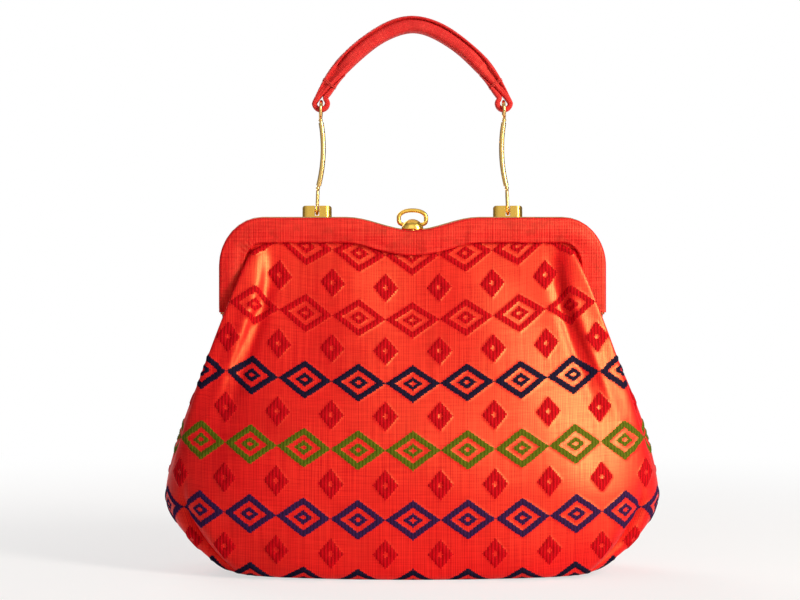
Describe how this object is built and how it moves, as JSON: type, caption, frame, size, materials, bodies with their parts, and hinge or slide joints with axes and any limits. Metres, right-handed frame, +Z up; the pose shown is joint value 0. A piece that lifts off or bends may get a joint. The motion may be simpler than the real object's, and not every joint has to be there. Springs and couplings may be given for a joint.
{
  "type": "frame handbag",
  "caption": "Velvet frame handbag: a boxed soft body in a hinged cloth-covered frame, with a flip-loop clasp and a cloth strap handle on bowed brass bars.",
  "frame": {"origin": "middle of the flat base, on the table", "axes": "+Z up towards the handle, -Y the front with the domed catch, +X to the right seen from the front"},
  "size_m": [0.28, 0.1, 0.3166],
  "materials": {
    "velvet": "ribbed red weave with bands of cut pile in crimson, navy, green and purple",
    "cover_cloth": "fine ribbed red velvet, stretched over the frame",
    "strap_cloth": "coral red ribbed cloth, folded and sewn",
    "lining_cloth": "plain woven lining",
    "board": "grey pressed board",
    "gilt": "polished yellow brass with light wear"
  },
  "bodies": {
    "bag": {"velvet_body": "velvet", "lining": "lining_cloth", "base_board": "board", "rear_frame": "gilt", "rear_cover": "cover_cloth", "hinge_rivet_left": "gilt", "hinge_rivet_right": "gilt", "tab_left": "gilt", "tab_right": "gilt", "tab_pin_left": "gilt", "tab_pin_right": "gilt", "clasp_bracket": "gilt"},
    "front_half": {"front_frame": "gilt", "front_cover": "cover_cloth", "clasp_catch": "gilt"},
    "clasp_flip": {"clasp_loop": "gilt"},
    "handle_bars": {"bar_wire_left": "gilt", "bar_wire_right": "gilt", "bar_sleeve_left": "gilt", "bar_sleeve_right": "gilt"},
    "strap": {"strap": "strap_cloth"}
  },
  "joints": [
    {"name": "frame_open", "type": "hinge", "parent": "bag", "child": "front_half", "pos_m": [0, 0, 0.148], "axis": [1, 0, 0], "range_deg": [0, 65], "deforming": ["velvet_body", "lining"]},
    {"name": "handle_swing", "type": "hinge", "parent": "bag", "child": "handle_bars", "pos_m": [0, 0.0043, 0.2053], "axis": [1, 0, 0], "range_deg": [-90, 90]},
    {"name": "strap_swing", "type": "hinge", "parent": "handle_bars", "child": "strap", "pos_m": [0, 0.0043, 0.26286], "axis": [1, 0, 0], "range_deg": [-60, 60]},
    {"name": "clasp_tilt", "type": "hinge", "parent": "bag", "child": "clasp_flip", "pos_m": [0, 0.00325, 0.19671], "axis": [-1, 0, 0], "range_deg": [0, 75]}
  ]
}
